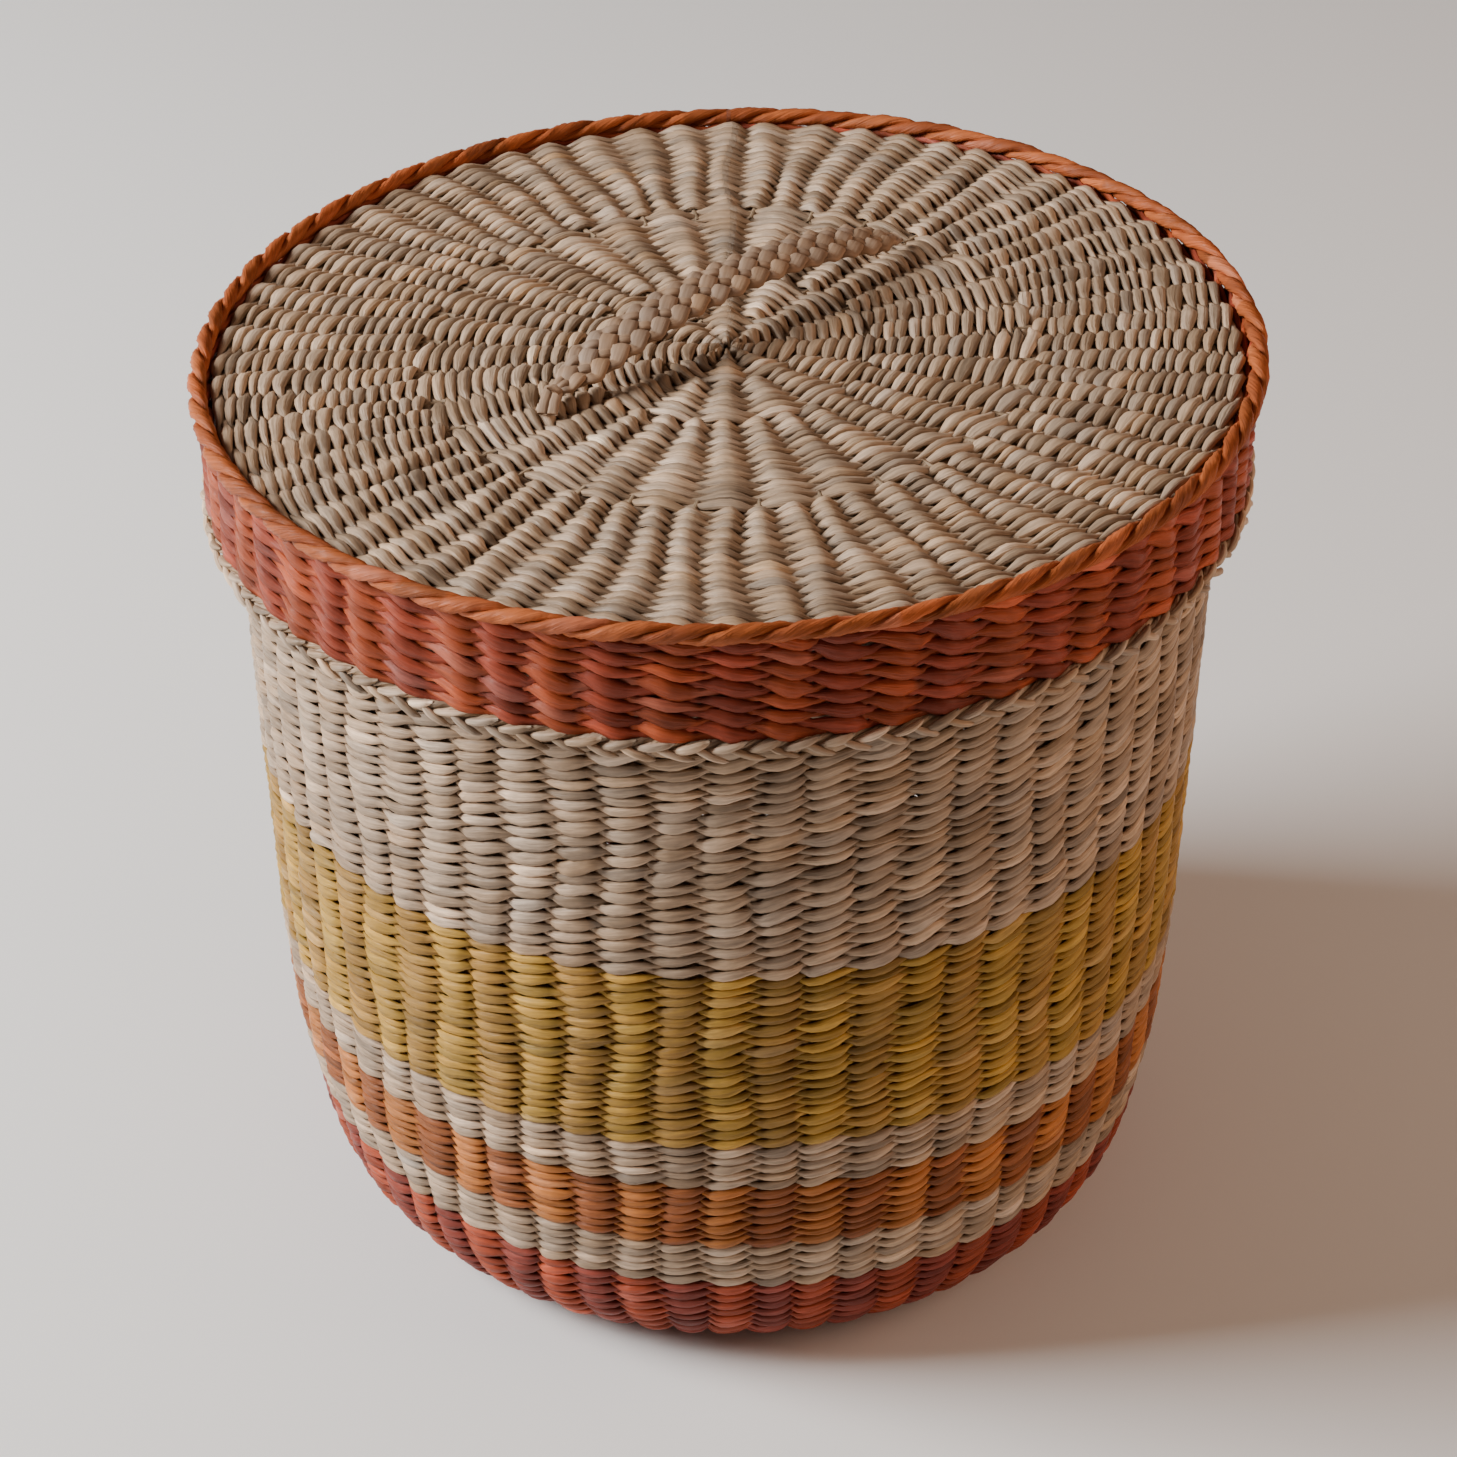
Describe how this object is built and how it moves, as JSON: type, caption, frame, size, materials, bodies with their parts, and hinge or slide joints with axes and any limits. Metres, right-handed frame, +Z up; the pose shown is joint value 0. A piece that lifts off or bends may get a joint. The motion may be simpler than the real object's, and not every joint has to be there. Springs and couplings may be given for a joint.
{
  "type": "lidded basket",
  "caption": "Round twined seagrass basket with coloured weft bands, a loose overlapping lid with a rope edge, and a flat plaited strap handle on the lid.",
  "frame": {"origin": "on the basket's axis, in the plane that it stands on", "axes": "+Z up along the basket's axis, through the lid; -Y is the side shown in the picture's middle"},
  "size_m": [0.3416, 0.3416, 0.3289],
  "materials": {
    "natural_seagrass": "satin dry plant fibre",
    "red_seagrass": "satin dyed plant fibre",
    "amber_seagrass": "satin dyed plant fibre",
    "yellow_seagrass": "satin dyed plant fibre",
    "orange_seagrass": "glossy dyed plant fibre",
    "plait_seagrass": "satin dry plant fibre",
    "stake_cane": "matte split cane"
  },
  "bodies": {
    "basket": {"base_weft": "natural_seagrass", "basket_stakes": "stake_cane", "wall_red_weft": "red_seagrass", "wall_lower_natural_weft": "natural_seagrass", "wall_amber_weft": "amber_seagrass", "wall_middle_natural_weft": "natural_seagrass", "wall_yellow_weft": "yellow_seagrass", "wall_upper_natural_weft": "natural_seagrass", "rim_border": "natural_seagrass"},
    "lid": {"lid_stakes": "stake_cane", "lid_top_weft": "natural_seagrass", "lid_skirt_weft": "orange_seagrass", "lid_border_rope": "orange_seagrass", "lid_chain_border": "natural_seagrass", "handle_tail_front": "plait_seagrass", "handle_tail_back": "plait_seagrass"},
    "handle": {"handle_plait": "plait_seagrass"}
  },
  "joints": [
    {"name": "lid_lift", "type": "slide", "parent": "basket", "child": "lid", "axis": [0, 0, 1], "range_m": [0, 0.12]},
    {"name": "handle_rock", "type": "hinge", "parent": "lid", "child": "handle", "pos_m": [-0.0538, -0.0345, 0.3143], "axis": [0.746, 0.6659, 0], "range_deg": [-15, 15], "stiffness_Nm_per_rad": 0.05}
  ]
}
